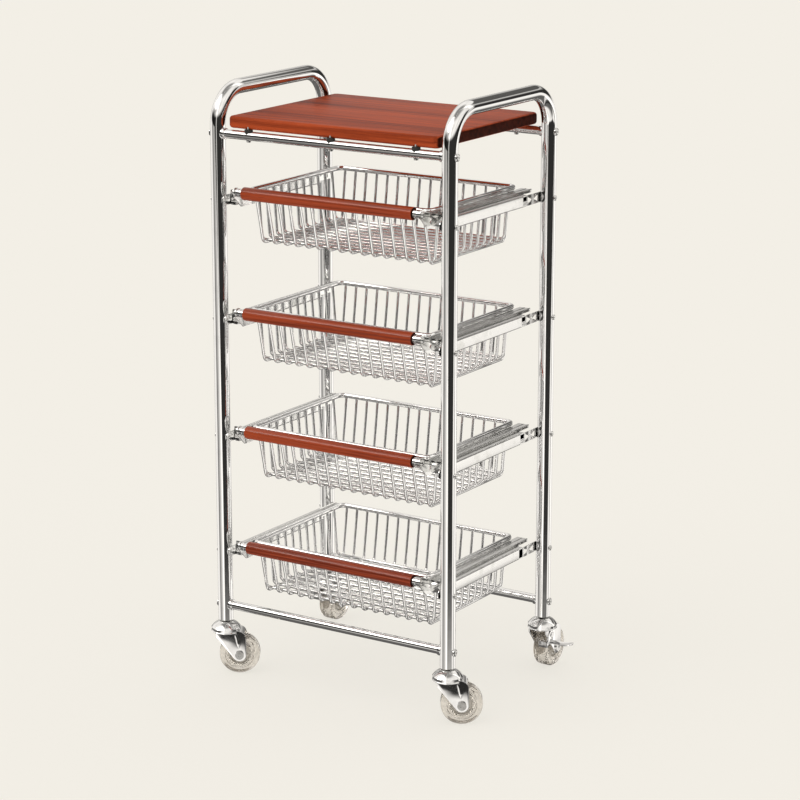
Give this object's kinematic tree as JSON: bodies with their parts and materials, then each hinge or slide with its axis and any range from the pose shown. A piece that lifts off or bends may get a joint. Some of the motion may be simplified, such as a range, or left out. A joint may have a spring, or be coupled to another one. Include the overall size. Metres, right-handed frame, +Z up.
{
  "type": "kitchen island cart",
  "caption": "Slim rolling kitchen cart: bright tube side frames on swivel casters, wooden top and pull-out wire baskets with wooden handles.",
  "frame": {"origin": "on the floor, at the middle of the box of the whole cart", "axes": "+X to the right as seen from the handles, +Y to the back, +Z up"},
  "size_m": [0.502, 0.34, 0.882],
  "materials": {
    "tube": "bright chrome plating on steel tube",
    "wire": "bright chrome plating on welded steel wire",
    "slide_sheet": "bright plated steel sheet",
    "caster_metal": "bright plated pressed steel",
    "fastener": "bright plated screws",
    "board": "satin red-brown stain over straight grain",
    "dowel": "satin red-brown stain, turned",
    "rubber": "matte black",
    "clear_wheel": "clear moulded plastic with a polished tread"
  },
  "bodies": {
    "frame": {"side_frame_left": "tube", "side_frame_right": "tube", "crossbar_top_front": "tube", "crossbar_top_rear": "tube", "crossbar_bottom_front": "tube", "crossbar_bottom_rear": "tube", "bar_collars": "tube", "bar_screws": "fastener", "worktop": "board", "worktop_pads": "rubber", "worktop_screws": "fastener", "rail_left_1": "slide_sheet", "rail_right_1": "slide_sheet", "rail_left_2": "slide_sheet", "rail_right_2": "slide_sheet", "rail_left_3": "slide_sheet", "rail_right_3": "slide_sheet", "rail_left_4": "slide_sheet", "rail_right_4": "slide_sheet", "rail_screws": "fastener", "caster_stems": "caster_metal"},
    "drawer_1": {"basket_1": "wire", "handle_1": "dowel", "ferrules_1": "tube", "handle_bolts_1": "fastener", "runner_left_1": "slide_sheet", "runner_right_1": "slide_sheet"},
    "drawer_2": {"basket_2": "wire", "handle_2": "dowel", "ferrules_2": "tube", "handle_bolts_2": "fastener", "runner_left_2": "slide_sheet", "runner_right_2": "slide_sheet"},
    "drawer_3": {"basket_3": "wire", "handle_3": "dowel", "ferrules_3": "tube", "handle_bolts_3": "fastener", "runner_left_3": "slide_sheet", "runner_right_3": "slide_sheet"},
    "drawer_4": {"basket_4": "wire", "handle_4": "dowel", "ferrules_4": "tube", "handle_bolts_4": "fastener", "runner_left_4": "slide_sheet", "runner_right_4": "slide_sheet"},
    "caster_front_left": {"fork_front_left": "caster_metal", "axle_front_left": "caster_metal"},
    "roller_front_left": {"wheel_front_left": "clear_wheel"},
    "caster_front_right": {"fork_front_right": "caster_metal", "axle_front_right": "caster_metal"},
    "roller_front_right": {"wheel_front_right": "clear_wheel"},
    "caster_rear_left": {"fork_rear_left": "caster_metal", "axle_rear_left": "caster_metal"},
    "roller_rear_left": {"wheel_rear_left": "clear_wheel"},
    "caster_rear_right": {"fork_rear_right": "caster_metal", "axle_rear_right": "caster_metal"},
    "roller_rear_right": {"wheel_rear_right": "clear_wheel"},
    "brake_left": {"brake_lever_left": "caster_metal"},
    "brake_right": {"brake_lever_right": "caster_metal"}
  },
  "joints": [
    {"name": "drawer_1_slide", "type": "slide", "parent": "frame", "child": "drawer_1", "axis": [0, -1, 0], "range_m": [0, 0.17]},
    {"name": "drawer_2_slide", "type": "slide", "parent": "frame", "child": "drawer_2", "axis": [0, -1, 0], "range_m": [0, 0.17]},
    {"name": "drawer_3_slide", "type": "slide", "parent": "frame", "child": "drawer_3", "axis": [0, -1, 0], "range_m": [0, 0.17]},
    {"name": "drawer_4_slide", "type": "slide", "parent": "frame", "child": "drawer_4", "axis": [0, -1, 0], "range_m": [0, 0.17]},
    {"name": "swivel_front_left", "type": "hinge", "parent": "frame", "child": "caster_front_left", "pos_m": [-0.194, -0.148, 0.083], "axis": [0, 0, 1], "continuous": true},
    {"name": "roll_front_left", "type": "hinge", "parent": "caster_front_left", "child": "roller_front_left", "pos_m": [-0.17723, -0.13711, 0.03], "axis": [0.5446, -0.8387, 0], "continuous": true},
    {"name": "swivel_front_right", "type": "hinge", "parent": "frame", "child": "caster_front_right", "pos_m": [0.194, -0.148, 0.083], "axis": [0, 0, 1], "continuous": true},
    {"name": "roll_front_right", "type": "hinge", "parent": "caster_front_right", "child": "roller_front_right", "pos_m": [0.21077, -0.13711, 0.03], "axis": [0.5446, -0.8387, 0], "continuous": true},
    {"name": "swivel_rear_left", "type": "hinge", "parent": "frame", "child": "caster_rear_left", "pos_m": [-0.194, 0.12, 0.083], "axis": [0, 0, 1], "continuous": true},
    {"name": "roll_rear_left", "type": "hinge", "parent": "caster_rear_left", "child": "roller_rear_left", "pos_m": [-0.194, 0.14, 0.03], "axis": [1, 0, 0], "continuous": true},
    {"name": "swivel_rear_right", "type": "hinge", "parent": "frame", "child": "caster_rear_right", "pos_m": [0.194, 0.12, 0.083], "axis": [0, 0, 1], "continuous": true},
    {"name": "roll_rear_right", "type": "hinge", "parent": "caster_rear_right", "child": "roller_rear_right", "pos_m": [0.194, 0.14, 0.03], "axis": [1, 0, 0], "continuous": true},
    {"name": "brake_left_pedal", "type": "hinge", "parent": "caster_rear_left", "child": "brake_left", "pos_m": [-0.21, 0.119, 0.055], "axis": [1, 0, 0], "range_deg": [0, 10]},
    {"name": "brake_right_pedal", "type": "hinge", "parent": "caster_rear_right", "child": "brake_right", "pos_m": [0.21, 0.119, 0.055], "axis": [1, 0, 0], "range_deg": [0, 10]}
  ]
}
